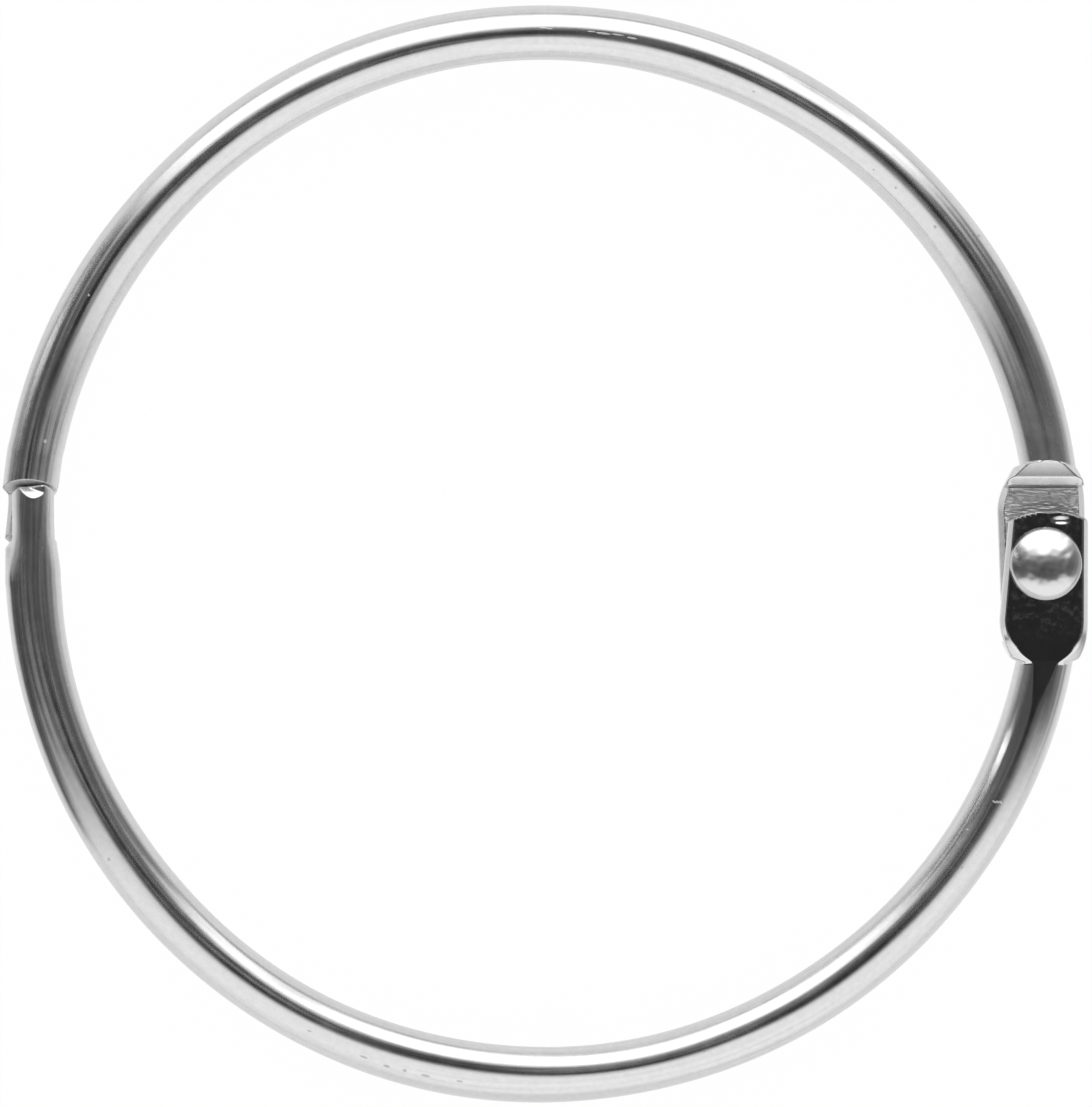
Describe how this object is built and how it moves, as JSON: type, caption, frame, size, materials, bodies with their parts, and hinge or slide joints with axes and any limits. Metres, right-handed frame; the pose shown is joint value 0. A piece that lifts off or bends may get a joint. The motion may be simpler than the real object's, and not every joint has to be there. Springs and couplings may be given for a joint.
{
  "type": "shower curtain ring",
  "caption": "Round hinged ring of plated steel wire for hanging a curtain from a rod, riveted on one side and lapped as a snap clasp on the other.",
  "frame": {"origin": "middle of the loop, on the mid-plane of the wire", "axes": "+Z out of the front, where the rivet's head is; +X towards the hinge; +Y towards the top of the loop"},
  "size_m": [0.0699, 0.0708, 0.0053],
  "materials": {
    "plated_wire": "bright plating with fine drawing lines",
    "plated_rivet": "bright plating, tumbled"
  },
  "bodies": {
    "fixed_half": {"upper_half": "plated_wire", "hinge_rivet": "plated_rivet"},
    "opening_half": {"lower_half": "plated_wire"}
  },
  "joints": [
    {"name": "ring_hinge", "type": "hinge", "parent": "fixed_half", "child": "opening_half", "pos_m": [0.03234, -0.00064, 0], "axis": [0, 0, 1], "range_deg": [0, 120]}
  ]
}
